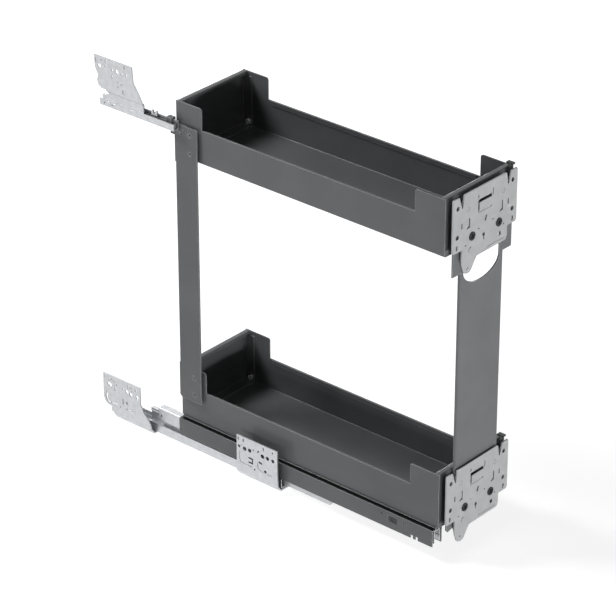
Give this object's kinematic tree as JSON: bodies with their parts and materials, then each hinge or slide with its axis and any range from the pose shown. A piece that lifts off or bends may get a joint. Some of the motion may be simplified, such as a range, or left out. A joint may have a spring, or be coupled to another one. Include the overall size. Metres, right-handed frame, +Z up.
{
  "type": "pull-out cabinet rack",
  "caption": "Side-mounted pull-out rack with two narrow sheet-steel trays between a rear upright and a front post, carried by a telescopic ball runner and a short upper guide.",
  "frame": {"origin": "on the cabinet wall face, midway between the two main fixing holes of the lower rear bracket", "axes": "+X the way the rack is pulled out, +Y away from the wall into the cabinet, +Z up"},
  "size_m": [0.5976, 0.1502, 0.5525],
  "materials": {
    "graphite_paint": "semi-matt graphite powder coat",
    "zinc": "bright zinc plate, rolled sheet",
    "bright_steel": "polished plated steel",
    "dark_steel": "dark passivated steel",
    "black_plastic": "matt moulded plastic"
  },
  "bodies": {
    "cabinet_side": {"lower_fixed_rail": "zinc", "lower_rear_bracket": "zinc", "lower_front_bracket": "zinc", "lower_bracket_rivets": "zinc", "upper_fixed_rail": "zinc", "upper_bracket": "zinc", "upper_bracket_rivets": "zinc"},
    "lower_cage": {"lower_ball_cage": "bright_steel"},
    "lower_middle": {"lower_middle_rail": "zinc"},
    "inner_cage": {"inner_ball_cage": "bright_steel"},
    "upper_middle": {"upper_middle_rail": "graphite_paint"},
    "lower_lever": {"lower_lock_lever": "zinc"},
    "upper_lever": {"upper_lock_lever": "zinc"},
    "lower_left_screw": {"lower_left_adjuster": "dark_steel"},
    "lower_right_screw": {"lower_right_adjuster": "dark_steel"},
    "upper_left_screw": {"upper_left_adjuster": "dark_steel"},
    "upper_right_screw": {"upper_right_adjuster": "dark_steel"},
    "rack": {"lower_inner_rail": "zinc", "runner_carrier": "graphite_paint", "carrier_catch": "black_plastic", "carrier_rivets": "graphite_paint", "tail_plug": "black_plastic", "lower_tray": "graphite_paint", "upper_tray": "graphite_paint", "tray_corner_screws": "bright_steel", "rear_upright": "graphite_paint", "upright_screws": "dark_steel", "upright_nuts": "bright_steel", "guide_arm": "graphite_paint", "guide_glide": "zinc", "guide_arm_bolts": "dark_steel", "front_post": "graphite_paint", "lower_front_carrier": "graphite_paint", "upper_front_carrier": "graphite_paint", "post_screws": "bright_steel", "post_nuts": "bright_steel", "lower_front_plate": "zinc", "upper_front_plate": "zinc", "plate_rivets": "zinc", "lever_pivots": "zinc"}
  },
  "joints": [
    {"name": "rack_slide", "type": "slide", "parent": "cabinet_side", "child": "rack", "axis": [1, 0, 0], "range_m": [-0.12, 0.11]},
    {"name": "lower_middle_slide", "type": "slide", "parent": "cabinet_side", "child": "lower_middle", "axis": [1, 0, 0], "range_m": [-0.06, 0.055]},
    {"name": "lower_cage_slide", "type": "slide", "parent": "cabinet_side", "child": "lower_cage", "axis": [1, 0, 0], "range_m": [-0.03, 0.0275]},
    {"name": "inner_cage_slide", "type": "slide", "parent": "cabinet_side", "child": "inner_cage", "axis": [1, 0, 0], "range_m": [-0.09, 0.0825]},
    {"name": "upper_middle_slide", "type": "slide", "parent": "cabinet_side", "child": "upper_middle", "axis": [1, 0, 0], "range_m": [-0.06, 0.055]},
    {"name": "lower_lever_swing", "type": "hinge", "parent": "rack", "child": "lower_lever", "pos_m": [0.566, 0.055, -0.008], "axis": [1, 0, 0], "range_deg": [-30, 30]},
    {"name": "upper_lever_swing", "type": "hinge", "parent": "rack", "child": "upper_lever", "pos_m": [0.566, 0.055, 0.386], "axis": [1, 0, 0], "range_deg": [-30, 30]},
    {"name": "lower_left_screw_turn", "type": "hinge", "parent": "rack", "child": "lower_left_screw", "pos_m": [0.566, 0.057, 0.0105], "axis": [1, 0, 0], "range_deg": [-180, 180]},
    {"name": "lower_right_screw_turn", "type": "hinge", "parent": "rack", "child": "lower_right_screw", "pos_m": [0.566, 0.111, 0.0095], "axis": [1, 0, 0], "range_deg": [-180, 180]},
    {"name": "upper_left_screw_turn", "type": "hinge", "parent": "rack", "child": "upper_left_screw", "pos_m": [0.566, 0.057, 0.4045], "axis": [1, 0, 0], "range_deg": [-180, 180]},
    {"name": "upper_right_screw_turn", "type": "hinge", "parent": "rack", "child": "upper_right_screw", "pos_m": [0.566, 0.111, 0.4035], "axis": [1, 0, 0], "range_deg": [-180, 180]}
  ],
  "couplings": [
    {"joint": "lower_middle_slide", "follows": "rack_slide", "ratio": 0.5},
    {"joint": "lower_cage_slide", "follows": "rack_slide", "ratio": 0.25},
    {"joint": "inner_cage_slide", "follows": "rack_slide", "ratio": 0.75},
    {"joint": "upper_middle_slide", "follows": "rack_slide", "ratio": 0.5}
  ]
}
